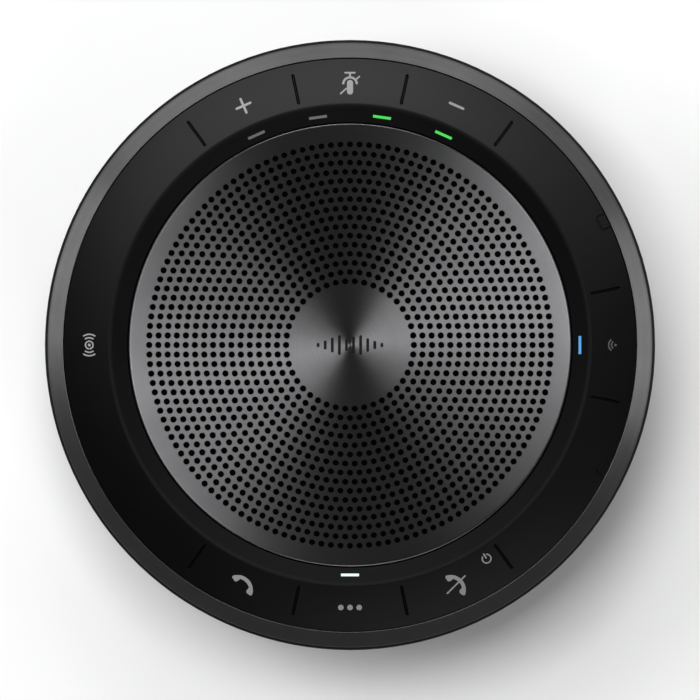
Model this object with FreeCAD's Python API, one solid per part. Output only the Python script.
"""Round table-top conference speakerphone, in millimetres.

+Z is up and the origin is the centre of the footprint, on the table. +X points at the
wireless key, +Y at the mute key. A bowl-shaped lower casing carries a metal trim ring, a
control ring with seven keys round its edge, and a flat perforated speaker grille in the
middle. Inside are the loudspeaker in its chamber, a ring-shaped key board with domes,
lamps and microphones, a main board with two side sockets, and two battery cells.
"""
import FreeCAD, Part
import math
import os

V = FreeCAD.Vector
AXIS_Z = V(0, 0, 1)

# Driving dimensions of the outside
OUTER_R = 80.0            # widest radius, at the casing's lip
CREST_R = 62.9            # the control ring's highest circle
CREST_Z = 43.0            # overall height
BASE_Z = 1.5              # underside of the casing above the table
BASE_FLAT_R = 61.5        # where the underside's flat ends and the bowl begins
SHOULDER_Z = 31.0         # where the bowl turns upright
LIP_Z = 35.9              # top of the casing's lip
WALL = 2.2                # casing wall

# Control ring
RING_IN_R = 58.25
RING_OUT_R = 74.8
CREST_FILLET = 2.2
INNER_SLOPE = 27.0        # degrees, falling towards the grille
BAND_SLOPE_IN = 9.0       # degrees at the crest, falling outwards
BAND_SLOPE_OUT = 14.0     # degrees at the ring's outer edge
SKIN = 2.0                # moulded thickness
RING_WALL = 1.2
RING_FOOT_Z = 32.2        # the ring stands on the chassis here
POCKET_WALL = 1.7
POCKET_FLOOR = (36.6, 38.0)

# Keys: name and the angle of the middle of each, in degrees from +X
KEYS = {
    "wireless": 0.0,
    "volume_down": 66.0,
    "mute": 90.0,
    "volume_up": 114.0,
    "answer": 246.0,
    "menu": 270.0,
    "hang_up": 294.0,
}
KEY_ZONES = ((0.0, 12.0), (90.0, 36.0), (270.0, 36.0))   # middle and half width
KEY_HALF = 12.0
KEY_IN_R = 64.0
KEY_TRAVEL = 0.45
KEY_GAP = 0.1
KEY_SIDE_GAP = 0.05       # degrees
KEY_SKIN = 1.8
PLUNGER_AT = 67.5
PLUNGER_R = 1.8
GROOVE_IN_R = 64.0
GROOVE_OUT_R = 72.4
GROOVE_W = 0.75
GROOVE_DEPTH = 0.7
MARK_ANGLE = 25.8         # of the plug marks sunk in the ring, above the side sockets
MARK_DEPTH = 0.22

# Indicator lamps: name and angle. The four level lamps sit above the mute key.
LAMPS = {
    "level_light_1": 114.0,
    "level_light_2": 98.0,
    "level_light_3": 82.0,
    "level_light_4": 66.0,
    "wireless_light": 0.0,
    "status_light": 270.0,
}
LAMP_R = 60.05
LAMP_LENGTH = 4.7
LAMP_WIDTH = 0.86
LAMP_GAP = 0.05

# Grille
GRILLE_R = 57.9
GRILLE_TOP = 40.9
GRILLE_SHEET = 1.0
GRILLE_SEAT_Z = 36.8
HOLE_PITCH = 2.386        # between the circles of holes
HOLE_R = 0.8
HOLE_CIRCLES = range(7, 23)   # circle k has 6k holes at radius k * pitch

# Chassis, key board and main board
CHASSIS_Z = (30.2, 32.2)
CHASSIS_R = 77.0
KEY_BOARD_Z = (33.6, 34.8)
KEY_BOARD_R = (59.8, 73.0)
MAIN_BOARD_Z = (11.4, 13.0)
CONNECTOR_H = 1.0
DOME_RISE = 0.35
PLUNGER_FOOT_Z = KEY_BOARD_Z[1] + DOME_RISE + 0.2
RING_SCREW_AT = [(66.0, a) for a in (40, 140, 180, 220, 320)]
STAKE_AT = [(71.0, a) for a in (20, 52, 128, 160, 200, 232, 308, 340)]
CASE_SCREW_AT = [(52.5, a) for a in (0, 78, 180, 282)]
BOARD_SCREW_AT = [(62.0, 47), (62.0, -47), (47.0, 24), (47.0, -24)]
DRIVER_SCREW_AT = [(39.2, a) for a in (45, 135, 225, 315)]
MIC_AT = [(71.5, a) for a in range(30, 360, 60)]
MIC_PORT_R = 0.4
BOSS_MEET_Z = 12.0
CASE_SCREW_Z = 5.6        # under the heads of the casing screws

# Side sockets, facing +X in a pocket of the casing wall
SOCKET_Y = 31.0
SOCKET_Z = 14.6
POCKET_W = 13.6
POCKET_H = 7.6
POCKET_BACK_X = 61.0
POCKET_SKIN = 1.6

# Loudspeaker
CHAMBER_R = (38.5, 40.5)
CHAMBER_Z = 5.5
GROMMET_AT = (-10.0, 27.0)   # y and z of the leads' way out of the chamber
GROMMET_PITCH = 0.9
FORMER_R = (12.3, 12.5)

CELL_R = 9.2
CELL_LENGTH = 65.0
CELL_AT = (51.0, 14.0)    # distance from the axis, and height
CELL_ANGLES = (130.0, 230.0)

FOOT_R = (47.0, 58.0)
FOOT_RECESS_Z = 2.6
LABEL_R = 30.0
LABEL_Z = 1.75            # the label is glued in a shallow recess this high


# ---------------------------------------------------------------- helpers

def polar(r, angle, z=0.0):
    a = math.radians(angle)
    return V(r * math.cos(a), r * math.sin(a), z)


def turned(shape, angle):
    """A copy of shape turned about the Z axis."""
    out = shape.copy()
    out.rotate(V(0, 0, 0), AXIS_Z, angle)
    return out


def edge_chain(steps):
    """Edges in the XZ plane. A step is (r, z), or ((r, z), (r, z)) for an arc by middle and end."""
    edges = []
    here = V(steps[0][0], 0, steps[0][1])
    for step in steps[1:]:
        if isinstance(step[0], tuple):
            middle, end = (V(p[0], 0, p[1]) for p in step)
            edges.append(Part.Arc(here, middle, end).toShape())
        else:
            end = V(step[0], 0, step[1])
            edges.append(Part.LineSegment(here, end).toShape())
        here = end
    return edges


def lathe(steps, sweep=360.0, start=0.0):
    """A solid of revolution about Z from a closed outline of steps."""
    first = steps[0]
    last = steps[-1][1] if isinstance(steps[-1][0], tuple) else steps[-1]
    if math.dist(first, last) > 1e-9:
        steps = list(steps) + [first]
    face = Part.Face(Part.Wire(edge_chain(steps)))
    solid = face.revolve(V(0, 0, 0), AXIS_Z, sweep)
    if solid.Volume < 0:
        solid.reverse()
    return turned(solid, start) if start else solid


def ring(r_in, r_out, z0, z1, middle=None, half=None):
    """An annular block, or a sector of one."""
    steps = [(r_in, z0), (r_out, z0), (r_out, z1), (r_in, z1)]
    if middle is None:
        return lathe(steps)
    return lathe(steps, 2 * half, middle - half)


def post(r, z0, z1, at=(0.0, 0.0)):
    return Part.makeCylinder(r, z1 - z0, polar(at[0], at[1], z0), AXIS_Z)


def block(x0, x1, y0, y1, z0, z1):
    return Part.makeBox(x1 - x0, y1 - y0, z1 - z0, V(x0, y0, z0))


def rounded_block(x0, x1, y0, y1, z0, z1, radius, along="x"):
    """A block with its four edges along one axis rounded."""
    body = block(x0, x1, y0, y1, z0, z1)
    want = {"x": V(1, 0, 0), "z": AXIS_Z}[along]
    edges = [e for e in body.Edges if abs(e.tangentAt(e.FirstParameter).dot(want)) > 0.99]
    return body.makeFillet(radius, edges)


def bar(length, width, z0, z1, at, angle):
    """An upright slab lying across the radius at a polar place, as a lamp window does."""
    slab = block(-width / 2, width / 2, -length / 2, length / 2, z0, z1)
    slab.translate(V(at, 0, 0))
    return turned(slab, angle)


def cap_middle(rim, rise, z):
    """A point half-way out on a spherical cap whose rim is at height z."""
    cap_r = (rim ** 2 + rise ** 2) / (2 * rise)
    return rim / 2, z + rise - cap_r + math.sqrt(cap_r ** 2 - (rim / 2) ** 2)


def fuse(shapes):
    first, *rest = shapes
    return first.fuse(rest).removeSplitter() if rest else first


def group(shapes):
    return Part.makeCompound(shapes)


def screw(head_r, head_h, shaft_r, length, at, z, up=True):
    """A pan-head screw with a cross recess. z is under the head; up says where the shaft points."""
    head = post(head_r, z - head_h, z, at)
    rim = [e for e in head.Edges if e.isClosed() and e.BoundBox.ZMax < z - 0.01]
    head = head.makeFillet(head_h * 0.4, rim)
    arm, depth = head_r * 0.55, head_h * 0.5
    slots = [
        block(-arm, arm, -0.25, 0.25, z - head_h - 1, z - head_h + depth),
        block(-0.25, 0.25, -arm, arm, z - head_h - 1, z - head_h + depth),
    ]
    for slot in slots:
        slot.translate(polar(*at))
    body = head.cut(slots[0]).cut(slots[1]).fuse(post(shaft_r, z - 0.01, z + length, at)).removeSplitter()
    if not up:
        centre = polar(at[0], at[1], z)
        body.rotate(centre, V(1, 0, 0), 180)
    return body


def tube(points, radius):
    """A wire along straight runs joined by tangent arcs."""
    points = [V(*p) for p in points]
    edges, here = [], points[0]
    for before, corner, after in zip(points, points[1:], points[2:]):
        to_in = (before - corner).normalize()
        to_out = (after - corner).normalize()
        turn = math.pi - to_in.getAngle(to_out)
        reach = 0.45 * min((before - corner).Length, (after - corner).Length)
        bend = reach / math.tan(turn / 2)
        start, end = corner + to_in * reach, corner + to_out * reach
        middle_way = (to_in + to_out).normalize()
        middle = corner + middle_way * (math.hypot(bend, reach) - bend)
        edges += [Part.LineSegment(here, start).toShape(), Part.Arc(start, middle, end).toShape()]
        here = end
    edges.append(Part.LineSegment(here, points[-1]).toShape())
    path = Part.Wire(edges)
    heading = points[1] - points[0]
    section = Part.Wire(Part.makeCircle(radius, points[0], heading))
    return path.makePipeShell([section], True, True)


# ---------------------------------------------------------------- control ring and keys

def on_crest(angle):
    """A point of the crest's rounding, by the angle of its normal from vertical."""
    a = math.radians(angle)
    centre_z = CREST_Z - CREST_FILLET
    return CREST_R + CREST_FILLET * math.sin(a), centre_z + CREST_FILLET * math.cos(a)


def band_point(angle):
    """A point of the key band, which is one large arc that carries on from the crest."""
    slope_in, slope = math.radians(BAND_SLOPE_IN), math.radians(angle)
    start_r, start_z = on_crest(BAND_SLOPE_IN)
    big = (RING_OUT_R - start_r) / (math.sin(math.radians(BAND_SLOPE_OUT)) - math.sin(slope_in))
    out = big * (math.sin(slope) - math.sin(slope_in))
    down = big * (math.cos(slope) - math.cos(slope_in))
    return start_r + out, start_z + down


def surface_steps(drop=0.0):
    """The ring's top outline from its inner to its outer edge, lowered by drop."""
    inner_r, inner_z = on_crest(-INNER_SLOPE)
    edge_z = inner_z - (inner_r - RING_IN_R) * math.tan(math.radians(INNER_SLOPE))
    middle = (BAND_SLOPE_IN + BAND_SLOPE_OUT) / 2
    steps = [
        (RING_IN_R, edge_z),
        (inner_r, inner_z),
        (on_crest((BAND_SLOPE_IN - INNER_SLOPE) / 2), on_crest(BAND_SLOPE_IN)),
        (band_point(middle), (RING_OUT_R, band_point(BAND_SLOPE_OUT)[1])),
    ]
    return [lowered(step, drop) for step in steps]


def lowered(step, drop):
    if isinstance(step[0], tuple):
        return tuple((r, z - drop) for r, z in step)
    return step[0], step[1] - drop


def under_surface(drop, floor_z):
    """Everything below the ring's surface lowered by drop, down to floor_z."""
    return lathe([(RING_IN_R, floor_z), *surface_steps(drop), (RING_OUT_R, floor_z)])


def surface_cut(depth):
    """The layer from depth below the surface to well above it, for cutting marks into the top."""
    above = CREST_Z + 2
    return lathe([*surface_steps(depth), (RING_OUT_R, above), (RING_IN_R, above)])


def groove_angles():
    angles = set()
    for middle in KEYS.values():
        angles |= {(middle - KEY_HALF) % 360, (middle + KEY_HALF) % 360}
    return sorted(angles)


def grooves(layer):
    """The short radial grooves that mark the ends of the keys."""
    half = GROOVE_W / 2
    low, high = POCKET_FLOOR[1], CREST_Z + 1
    slot = rounded_block(GROOVE_IN_R, GROOVE_OUT_R, -half, half, low, high, half * 0.98, "z")
    return [turned(slot, a).common(layer) for a in groove_angles()]


def socket_marks(layer):
    """A small plug outline above each side socket, open at the ring's edge."""
    start, line, half_w, corner = 72.2, 0.35, 2.4, 0.8
    end = RING_OUT_R + 1
    low, high = POCKET_FLOOR[1], CREST_Z + 1
    outer = rounded_block(start, end + 1, -half_w, half_w, low, high, corner, "z")
    inner = rounded_block(start + line, end + 2, line - half_w, half_w - line, low, high, corner - line, "z")
    mark = outer.cut(inner)
    return [turned(mark, a).common(layer) for a in (MARK_ANGLE, -MARK_ANGLE)]


def control_ring():
    shell = under_surface(0.0, RING_FOOT_Z)
    hollow = under_surface(SKIN, RING_FOOT_Z - 1).common(
        ring(RING_IN_R + RING_WALL, RING_OUT_R - RING_WALL, RING_FOOT_Z - 1, CREST_Z)
    )
    shell = shell.cut(hollow)
    inside_skin = under_surface(SKIN / 2, POCKET_FLOOR[0])
    into_wall = RING_OUT_R - RING_WALL / 2
    side_wall, mic_pad = 1.4, 2.4      # degrees
    pads = []
    for middle, half in KEY_ZONES:
        pad = ring(KEY_IN_R - POCKET_WALL, into_wall, POCKET_FLOOR[0], CREST_Z, middle, half + side_wall)
        pads.append(pad.common(inside_skin))
    for r, angle in MIC_AT:
        pads.append(ring(r - 2.2, into_wall, *POCKET_FLOOR, angle, mic_pad))
    boss_top = under_surface(SKIN / 2, RING_FOOT_Z)
    bosses = [post(2.6, RING_FOOT_Z, CREST_Z, at).common(boss_top) for at in RING_SCREW_AT]
    body = fuse([shell, *pads, *bosses])
    cuts = []
    for middle, half in KEY_ZONES:
        half_gap = half + KEY_SIDE_GAP
        cuts.append(ring(KEY_IN_R - KEY_GAP, RING_OUT_R + 1, POCKET_FLOOR[1], CREST_Z + 1, middle, half_gap))
    cuts += [post(PLUNGER_R + 0.3, 30, 40, (PLUNGER_AT, a)) for a in KEYS.values()]
    cuts += [post(1.05, RING_FOOT_Z - 1, RING_FOOT_Z + 6, at) for at in RING_SCREW_AT]
    port_z = sum(POCKET_FLOOR) / 2
    for r, angle in MIC_AT:
        cuts.append(post(MIC_PORT_R, POCKET_FLOOR[0] - 1, port_z, (r, angle)))
        channel = Part.makeCylinder(MIC_PORT_R, 6, V(r, 0, port_z), V(1, 0, 0))
        cuts.append(turned(channel, angle))
    for angle in LAMPS.values():
        cuts.append(bar(LAMP_LENGTH, LAMP_WIDTH, POCKET_FLOOR[1], CREST_Z, LAMP_R, angle))
    cuts += grooves(surface_cut(GROOVE_DEPTH)) + socket_marks(surface_cut(MARK_DEPTH))
    return body.cut(cuts)


def key(name):
    middle = KEYS[name]
    half = KEY_HALF - KEY_SIDE_GAP
    floor_z = POCKET_FLOOR[1] + KEY_TRAVEL + 0.05
    wall = 1.5
    whole = under_surface(0.0, floor_z).common(ring(KEY_IN_R, RING_OUT_R, floor_z, CREST_Z + 1, middle, half))
    hollow = under_surface(KEY_SKIN, floor_z - 1).common(
        ring(KEY_IN_R + wall, RING_OUT_R - wall, floor_z - 1, CREST_Z, middle, half - 1.3)
    )
    layer = surface_cut(GROOVE_DEPTH)
    plunger = post(PLUNGER_R, PLUNGER_FOOT_Z, CREST_Z, (PLUNGER_AT, middle))
    plunger = plunger.common(under_surface(KEY_SKIN / 2, PLUNGER_FOOT_Z))
    body = whole.cut(hollow).fuse(plunger).removeSplitter()
    ends = [(middle - KEY_HALF) % 360, (middle + KEY_HALF) % 360]
    chosen = [g for a, g in zip(groove_angles(), grooves(layer)) if a in ends]
    return body.cut(chosen)


def dome(angle):
    """The snap dome that a key's plunger presses."""
    rise, half = DOME_RISE, 2.5
    z = KEY_BOARD_Z[1]
    cap = lathe([(0, z), (half, z), (cap_middle(half, rise, z), (0, z + rise))])
    cap.translate(polar(PLUNGER_AT, angle))
    return cap


def light_guide(angle):
    """A clear bar from the lamp on the key board up to the ring's inner slope."""
    length, width = LAMP_LENGTH - 2 * LAMP_GAP, LAMP_WIDTH - 2 * LAMP_GAP
    stem = bar(length, width, KEY_BOARD_Z[1] + 0.9, CREST_Z, LAMP_R, angle).common(under_surface(0.0, 30))
    collar = bar(length + 1.4, 1.1, 37.6, CREST_Z, LAMP_R + 0.15, angle)
    collar = collar.common(under_surface(SKIN + 0.02, 30))
    return stem.fuse(collar).removeSplitter()


def key_board():
    body = ring(*KEY_BOARD_R, *KEY_BOARD_Z)
    holes = [post(3.0, 30, 40, at) for at in RING_SCREW_AT]
    holes += [post(1.0, 30, 40, at) for at in STAKE_AT]
    return body.cut(holes)


def indicator_lamps():
    z = KEY_BOARD_Z[1]
    return group([bar(1.6, 0.8, z, z + 0.6, LAMP_R + 0.2, a) for a in LAMPS.values()])


def microphones():
    z = KEY_BOARD_Z[1]
    return group([bar(4.0, 2.8, z, z + 1.0, r, a) for r, a in MIC_AT])


def microphone_boots():
    z0, z1 = KEY_BOARD_Z[1] + 1.0, POCKET_FLOOR[0]
    return group([bar(3.6, 2.4, z0, z1, r, a).cut(post(0.5, z0 - 1, z1 + 1, (r, a))) for r, a in MIC_AT])


def pairing_antenna():
    """The flat near-field loop glued under the ring's skin, opposite the wireless key."""
    outer = ring(61.4, 72.6, 38.1, 38.4, 180, 9.5)
    inner = ring(63.0, 71.0, 38.0, 38.5, 180, 7.9)
    boss_room = post(3.0, 38.0, 38.5, (66.0, 180))
    return outer.cut([inner, boss_room])


# ---------------------------------------------------------------- casing, trim, grille, feet

def bowl_point(offset, z):
    """A point of the bowl's arc, offset inwards from its outside, at height z."""
    reach = OUTER_R - BASE_FLAT_R
    height = SHOULDER_Z - BASE_Z
    bowl_r = (reach ** 2 + height ** 2) / (2 * reach)
    return OUTER_R - bowl_r + math.sqrt((bowl_r - offset) ** 2 - (SHOULDER_Z - z) ** 2), z


def casing_outer():
    bowl = (bowl_point(0, 8.0), bowl_point(0, SHOULDER_Z))
    return [(0, BASE_Z), (BASE_FLAT_R, BASE_Z), bowl, (OUTER_R, LIP_Z)]


def bottom_casing():
    ledge_r, seat_r, floor_z = 75.6, 77.4, 4.0
    under_ledge = bowl_point(WALL, 25.4)
    inner = [
        (seat_r, LIP_Z), (seat_r, CHASSIS_Z[0]), (ledge_r, CHASSIS_Z[0]), (ledge_r, 27.2), under_ledge,
        (bowl_point(WALL, 12.0), bowl_point(WALL, floor_z)), (0, floor_z),
    ]
    body = lathe(casing_outer() + inner)
    inside = lathe(casing_outer() + [(0, LIP_Z)])
    adds = [post(4.0, 3.9, BOSS_MEET_Z, at) for at in CASE_SCREW_AT]
    adds += [post(2.8, 3.9, MAIN_BOARD_Z[0], at) for at in BOARD_SCREW_AT]
    half_w, half_h = POCKET_W / 2 + POCKET_SKIN, POCKET_H / 2 + POCKET_SKIN
    back, low, high = POCKET_BACK_X - POCKET_SKIN, SOCKET_Z - half_h, SOCKET_Z + half_h
    for y in (SOCKET_Y, -SOCKET_Y):
        adds.append(block(back, OUTER_R, y - half_w, y + half_w, low, high).common(inside))
    body = fuse([body, *adds])
    cuts = [ring(FOOT_R[0] - 0.1, FOOT_R[1] + 0.1, 0, FOOT_RECESS_Z), post(LABEL_R + 0.2, 0, LABEL_Z)]
    for at in CASE_SCREW_AT:
        cuts += [post(3.0, 0, CASE_SCREW_Z, at), post(1.6, 0, 20, at)]
    cuts += [post(0.95, 5.0, 20, at) for at in BOARD_SCREW_AT]
    for side in (1, -1):
        y, z = side * SOCKET_Y, SOCKET_Z
        half_w, half_h = POCKET_W / 2, POCKET_H / 2
        cuts.append(rounded_block(POCKET_BACK_X, 90, y - half_w, y + half_w, z - half_h, z + half_h, 1.6))
        cuts.append(rounded_block(50, 64, y - 4.6, y + 4.6, z - 1.8, z + 1.8, 1.7))
    return body.cut(cuts)


def trim_ring():
    """Metal bezel: a wide bevel with eased edges above, and a skirt that drops into the casing."""
    in_r, out_r, skirt_r = 75.25, 79.3, 77.3
    brow_r, brow_z, top_z = RING_OUT_R + 0.15, 38.4, 40.65
    foot_z, ease = LIP_Z, 0.22
    edge_z = foot_z + 0.45
    return lathe([
        (in_r, 33.0), (skirt_r, 33.0), (skirt_r, foot_z), (out_r, foot_z), (out_r, edge_z),
        (out_r - ease, edge_z + ease * 1.5), (brow_r + ease, top_z), (brow_r, top_z - ease),
        (brow_r, brow_z), (in_r, brow_z - 0.5),
    ])


def speaker_grille():
    """A flat sheet with circles of holes, and a rolled edge that stands on the chassis."""
    under = GRILLE_TOP - GRILLE_SHEET
    top_r = GRILLE_R - 0.7
    roll = 0.7 * math.sqrt(0.5)
    corner = (top_r + roll, GRILLE_TOP - 0.7 + roll)
    dish = lathe([
        (0, under), (GRILLE_R - 1.0, under), (GRILLE_R - 1.0, GRILLE_SEAT_Z), (GRILLE_R, GRILLE_SEAT_Z),
        (GRILLE_R, GRILLE_TOP - 0.7), (corner, (top_r, GRILLE_TOP)), (0, GRILLE_TOP),
    ])
    holes = []
    for circle in HOLE_CIRCLES:
        count = 6 * circle
        for i in range(count):
            at = polar(circle * HOLE_PITCH, 360.0 * i / count, under - 1)
            holes.append(Part.makeCylinder(HOLE_R, GRILLE_SHEET + 2, at, AXIS_Z))
    return dish.cut(group(holes))


def grille_cloth():
    top = GRILLE_TOP - GRILLE_SHEET
    return post(GRILLE_R - 1.4, top - 0.35, top)


def foot_ring():
    """Anti-slip ring with rounded lower edges and a shallow groove in its face."""
    r_in, r_out = FOOT_R
    top, ease = FOOT_RECESS_Z, 0.6
    middle = (r_in + r_out) / 2
    return lathe([
        (r_in, top), (r_in, ease), ((r_in + ease * 0.29, ease * 0.29), (r_in + ease, 0)),
        (middle - 0.9, 0), (middle - 0.5, 0.5), (middle + 0.5, 0.5), (middle + 0.9, 0),
        (r_out - ease, 0), ((r_out - ease * 0.29, ease * 0.29), (r_out, ease)), (r_out, top),
    ])


def base_label():
    return post(LABEL_R, LABEL_Z - 0.15, LABEL_Z)


# ---------------------------------------------------------------- chassis and fixings

def inner_chassis():
    z0, z1 = CHASSIS_Z
    body = ring(37.0, CHASSIS_R, z0, z1)
    adds = [ring(55.6, 58.0, z1 - 0.1, GRILLE_SEAT_Z)]
    adds += [post(3.6, BOSS_MEET_Z + 0.1, z0 + 0.1, at) for at in CASE_SCREW_AT]
    for at in STAKE_AT:
        adds += [post(2.0, z1 - 0.1, KEY_BOARD_Z[0], at), post(0.9, z1 - 0.1, KEY_BOARD_Z[1] + 0.6, at)]
    body = fuse([body, *adds])
    cuts = [post(1.4, z0 - 1, z1 + 1, at) for at in RING_SCREW_AT]
    cuts += [post(1.3, BOSS_MEET_Z - 1, 25, at) for at in CASE_SCREW_AT]
    cuts += [post(0.95, z0 - 1, z1 + 1, at) for at in DRIVER_SCREW_AT]
    cuts.append(block(61.9, 64.3, 7.5, 18.5, z0 - 1, z1 + 1))
    return body.cut(cuts)


def casing_screws():
    return group([screw(2.7, 2.2, 1.25, 17.0, at, CASE_SCREW_Z) for at in CASE_SCREW_AT])


def ring_screws():
    return group([screw(2.2, 1.6, 1.0, 7.2, at, CHASSIS_Z[0]) for at in RING_SCREW_AT])


def board_screws():
    return group([screw(2.0, 1.4, 0.9, 6.0, at, MAIN_BOARD_Z[1], up=False) for at in BOARD_SCREW_AT])


def driver_screws():
    return group([screw(1.7, 1.2, 0.9, 4.0, at, 34.2, up=False) for at in DRIVER_SCREW_AT])


# ---------------------------------------------------------------- loudspeaker

def speaker_chamber():
    """The closed cup behind the loudspeaker, with a hole for its leads."""
    r_in, r_out = CHAMBER_R
    cup = lathe([
        (0, CHAMBER_Z), (r_out - 3, CHAMBER_Z), (r_out, CHAMBER_Z + 3), (r_out, CHASSIS_Z[0]),
        (r_in, CHASSIS_Z[0]), (r_in, CHAMBER_Z + 4), (r_in - 2, CHAMBER_Z + 2), (0, CHAMBER_Z + 2),
    ])
    return cup.cut(Part.makeCylinder(2.0, 8, V(36, *GROMMET_AT), V(1, 0, 0)))


def lead_grommet():
    y, z = GROMMET_AT
    bush = Part.makeCylinder(1.95, 3.4, V(36.4, y, z), V(1, 0, 0))
    heights = (z + GROMMET_PITCH, z - GROMMET_PITCH)
    return bush.cut([Part.makeCylinder(0.65, 8, V(34, y, h), V(1, 0, 0)) for h in heights])


def driver_yoke():
    return lathe([(4, 9.5), (24, 9.5), (24, 13), (11.8, 13), (11.8, 24.6), (4, 24.6)])


def driver_magnet():
    return ring(15.5, 26.0, 13.0, 20.5)


def driver_top_plate():
    return ring(13.6, 24.5, 20.5, 24.5)


def driver_basket():
    """Pressed frame: a floor on the top plate, a landing for the spider, windowed cone and flange."""
    outside = [(17, 24.5), (26.6, 24.5), (36.6, 31.6), (36.6, 33.0), (41.2, 33.0), (41.2, 34.2)]
    inside = [(35.6, 34.2), (35.6, 32.2), (26.0, 25.5), (25.2, 25.5)]
    landing = [(25.2, 27.0), (22.2, 27.0), (22.2, 25.5), (17, 25.5)]
    body = lathe(outside + inside + landing)
    window = ring(28.0, 35.0, 20, 32.5, 0, 22)
    cuts = [turned(window, a) for a in range(30, 360, 60)]
    cuts += [post(0.95, 30, 36, at) for at in DRIVER_SCREW_AT]
    return body.cut(cuts)


def driver_gasket():
    body = ring(37.2, 41.2, CHASSIS_Z[1], 33.0)
    return body.cut([post(1.1, 30, 36, at) for at in DRIVER_SCREW_AT])


def driver_cone():
    """Paper cone from the coil's neck to the surround."""
    return lathe([(12.5, 29.4), (31.2, 34.6), (32.4, 34.6), (32.4, 35.2), (31.0, 35.2), (12.5, 30.1)])


def dust_cap():
    rim, rise, skin, z = 15.2, 3.2, 0.5, 30.86
    outside = (cap_middle(rim, rise, z), (rim, z))
    inside = (cap_middle(rim - skin, rise - skin, z), (0, z + rise - skin))
    return lathe([(rim, z), (rim - skin, z), inside, (0, z + rise), outside])


def voice_coil_former():
    return ring(*FORMER_R, 17.0, 29.4)


def voice_coil_winding():
    return ring(FORMER_R[1], FORMER_R[1] + 0.6, 19.5, 25.5)


def driver_surround():
    """Half-roll rubber edge from the cone to the frame."""
    inner, outer, skin, z = 32.4, 37.4, 0.5, 34.2
    low, waist, r = z + 0.4, z + 0.8, 1.7
    centre = inner + 0.6 + r
    return lathe([
        (inner, low), (centre - r, low), (centre - r, waist), ((centre, waist + r), (centre + r, waist)),
        (centre + r, z), (outer, z), (outer, z + skin), (centre + r + skin, z + skin),
        (centre + r + skin, waist), ((centre, waist + r + skin), (centre - r - skin, waist)),
        (centre - r - skin, waist + 0.1), (inner, waist + 0.1),
    ])


def driver_spider():
    """Corrugated centring disc round the coil."""
    inner, roll_end, outer, skin = FORMER_R[1], 22.3, 24.6, 0.35
    foot_z, wave_z, swell, count = 27.0, 27.5, 0.4, 8
    step = (roll_end - inner) / count
    middles = [(inner + step * (i + 0.5), swell * (-1) ** i) for i in range(count)]
    lower = [((r, wave_z + dz), (r + step / 2, wave_z)) for r, dz in middles]
    upper = [((r, wave_z + skin + dz), (r - step / 2, wave_z + skin)) for r, dz in reversed(middles)]
    step_r = roll_end + 0.01
    rim = [
        (roll_end, foot_z), (outer, foot_z), (outer, foot_z + skin),
        (step_r, foot_z + skin), (step_r, wave_z + skin), (roll_end, wave_z + skin),
    ]
    return lathe([(inner, wave_z), *lower, *rim, *upper])


# ---------------------------------------------------------------- electronics and wiring

def main_board():
    body = ring(43.0, 67.5, *MAIN_BOARD_Z, 0, 58)
    cuts = [block(POCKET_BACK_X - POCKET_SKIN - 0.2, 80, -80, 80, 5, 20), post(4.6, 5, 20, CASE_SCREW_AT[0])]
    cuts += [post(1.1, 5, 20, at) for at in BOARD_SCREW_AT]
    return body.cut(cuts)


def on_board(length, width, height, at, angle, spin=0.0):
    """A flat component on the main board."""
    z = MAIN_BOARD_Z[1]
    chip = block(-length / 2, length / 2, -width / 2, width / 2, z, z + height)
    chip = turned(chip, spin)
    chip.translate(polar(at, angle))
    return chip


def radio_shield():
    can = on_board(15.0, 15.0, 2.4, 52.0, 44, 44)
    inside = on_board(14.4, 14.4, 2.1, 52.0, 44, 44)
    return can.cut(inside)


def board_chips():
    chips = [
        on_board(10.0, 10.0, 1.2, 54.5, -42, -42),
        on_board(6.0, 6.0, 1.0, 48.0, -10, -10),
        on_board(5.0, 4.0, 1.0, 47.5, 12, 12),
        on_board(4.5, 4.5, 3.0, 47.0, -50, -50),
    ]
    z = MAIN_BOARD_Z[1]
    caps = [post(2.5, z, z + 7.0, (46.5, a)) for a in (-37, -30)]
    return group(chips + caps)


def socket(side):
    """A reversible data and power receptacle: metal shell, tongue and rear block."""
    y, z = side * SOCKET_Y, SOCKET_Z
    front, back = POCKET_BACK_X - 0.1, POCKET_BACK_X - 7.4
    shell = rounded_block(back, front, y - 4.47, y + 4.47, z - 1.6, z + 1.6, 1.55)
    bore = rounded_block(back + 1.2, front + 1, y - 4.17, y + 4.17, z - 1.3, z + 1.3, 1.25)
    tongue = block(back + 1.1, front - 1.0, y - 3.35, y + 3.35, z - 0.35, z + 0.35)
    return shell.cut(bore).fuse(tongue).removeSplitter()


def board_ribbon():
    """Flat flexible lead from the main board up to the key board, through a slot in the chassis."""
    thick, shelf_z, y0, width = 0.2, 26.0, 8.0, 10.0
    low_x, low_z = 56.0, MAIN_BOARD_Z[1] + CONNECTOR_H
    high_x, high_z = 63.0, KEY_BOARD_Z[0] - CONNECTOR_H
    outline = [
        (low_x, low_z), (low_x, shelf_z + thick), (high_x, shelf_z + thick), (high_x, high_z),
        (high_x + thick, high_z), (high_x + thick, shelf_z), (low_x + thick, shelf_z), (low_x + thick, low_z),
    ]
    corners = [V(x, y0, z) for x, z in outline]
    return Part.Face(Part.makePolygon(corners + corners[:1])).extrude(V(0, width, 0))


def ribbon_connectors():
    low, high = MAIN_BOARD_Z[1], KEY_BOARD_Z[0]
    lower = block(55.0, 57.2, 7.4, 18.6, low, low + CONNECTOR_H)
    upper = block(62.2, 64.0, 7.8, 18.2, high - CONNECTOR_H, high)
    return group([lower, upper])


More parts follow.
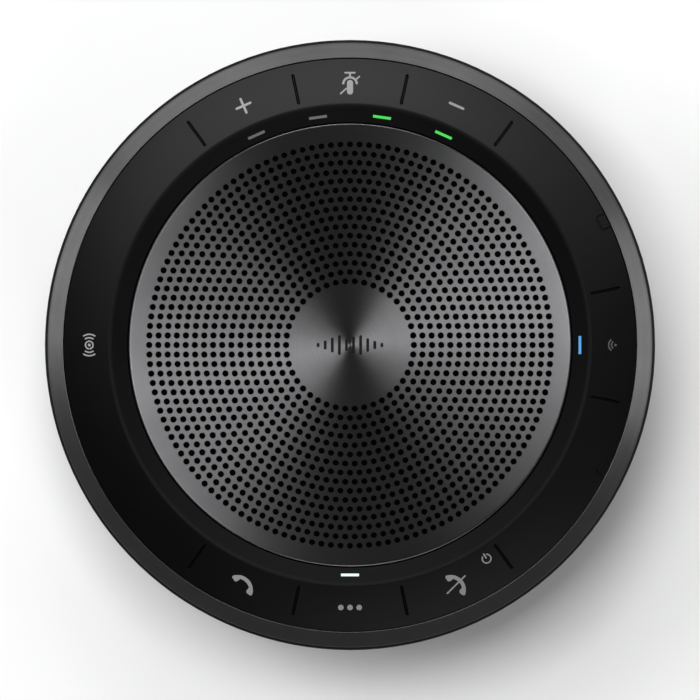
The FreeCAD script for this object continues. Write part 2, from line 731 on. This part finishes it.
def battery_cells():
    at, z = CELL_AT
    cells = []
    for angle in CELL_ANGLES:
        can = Part.makeCylinder(CELL_R, CELL_LENGTH, V(at, -CELL_LENGTH / 2, z), V(0, 1, 0))
        can = can.makeFillet(0.8, [e for e in can.Edges if e.isClosed()])
        nub = Part.makeCylinder(2.8, 1.0, V(at, CELL_LENGTH / 2 - 0.1, z), V(0, 1, 0))
        cells.append(turned(can.fuse(nub).removeSplitter(), angle))
    return group(cells)


def battery_cradles():
    at, z = CELL_AT
    cradles = []
    for angle in CELL_ANGLES:
        tray = block(at - 6.5, at + 6.5, -20, 20, 4.0, 10.5)
        tray = tray.cut(Part.makeCylinder(CELL_R, 80, V(at, -40, z), V(0, 1, 0)))
        cradles.append(turned(tray, angle))
    return group(cradles)


def internal_leads():
    """Two wires from the loudspeaker through the grommet, and one from each cell, to the main board."""
    board_z = MAIN_BOARD_Z[1]
    leads = []
    for dz, end_y in ((GROMMET_PITCH, -13.0), (-GROMMET_PITCH, -15.2)):
        z = GROMMET_AT[1] + dz
        near, over = (31.5, GROMMET_AT[0], z), (45.5 + dz, GROMMET_AT[0], z)
        leads.append(tube([near, over, (50.5, end_y, 20.0), (50.5, end_y, board_z)], 0.6))
    for angle, side in zip(CELL_ANGLES, (1, -1)):
        out = V(math.sin(math.radians(angle)), -math.cos(math.radians(angle)), 0) * side
        end = polar(CELL_AT[0], angle, CELL_AT[1] + 4.5) + out * (CELL_LENGTH / 2)
        bends = [tuple(end + out * 8), (14, side * 63.5, 18.5), (24, side * 57, 18.5)]
        leads.append(tube([tuple(end), *bends, (30.5, side * 46.5, 19.5), (30.5, side * 46.5, board_z)], 0.8))
    return group(leads)


# ---------------------------------------------------------------- the assembly

def assembly():
    parts = {
        "bottom_casing": bottom_casing(),
        "trim_ring": trim_ring(),
        "control_ring": control_ring(),
        "speaker_grille": speaker_grille(),
        "grille_cloth": grille_cloth(),
        "foot_ring": foot_ring(),
        "base_label": base_label(),
        "inner_chassis": inner_chassis(),
        "casing_screws": casing_screws(),
        "ring_screws": ring_screws(),
        "board_screws": board_screws(),
        "driver_screws": driver_screws(),
        "key_board": key_board(),
        "indicator_lamps": indicator_lamps(),
        "microphones": microphones(),
        "microphone_boots": microphone_boots(),
        "pairing_antenna": pairing_antenna(),
        "speaker_chamber": speaker_chamber(),
        "lead_grommet": lead_grommet(),
        "driver_yoke": driver_yoke(),
        "driver_magnet": driver_magnet(),
        "driver_top_plate": driver_top_plate(),
        "driver_basket": driver_basket(),
        "driver_gasket": driver_gasket(),
        "driver_surround": driver_surround(),
        "driver_spider": driver_spider(),
        "driver_cone": driver_cone(),
        "dust_cap": dust_cap(),
        "voice_coil_former": voice_coil_former(),
        "voice_coil_winding": voice_coil_winding(),
        "main_board": main_board(),
        "radio_shield": radio_shield(),
        "board_chips": board_chips(),
        "data_socket": socket(1),
        "extension_socket": socket(-1),
        "board_ribbon": board_ribbon(),
        "ribbon_connectors": ribbon_connectors(),
        "battery_cells": battery_cells(),
        "battery_cradles": battery_cradles(),
        "internal_leads": internal_leads(),
    }
    for name, angle in KEYS.items():
        parts[name + "_key"] = key(name)
        parts[name + "_dome"] = dome(angle)
    for name, angle in LAMPS.items():
        parts[name] = light_guide(angle)
    return parts


def main():
    os.makedirs("parts", exist_ok=True)
    for name, shape in assembly().items():
        bad = [s for s in shape.Solids if not s.isValid() or s.Volume <= 0]
        if bad or not shape.Solids:
            raise SystemExit(f"{name} has a broken solid")
        shape.exportStep(f"parts/{name}.step")


main()
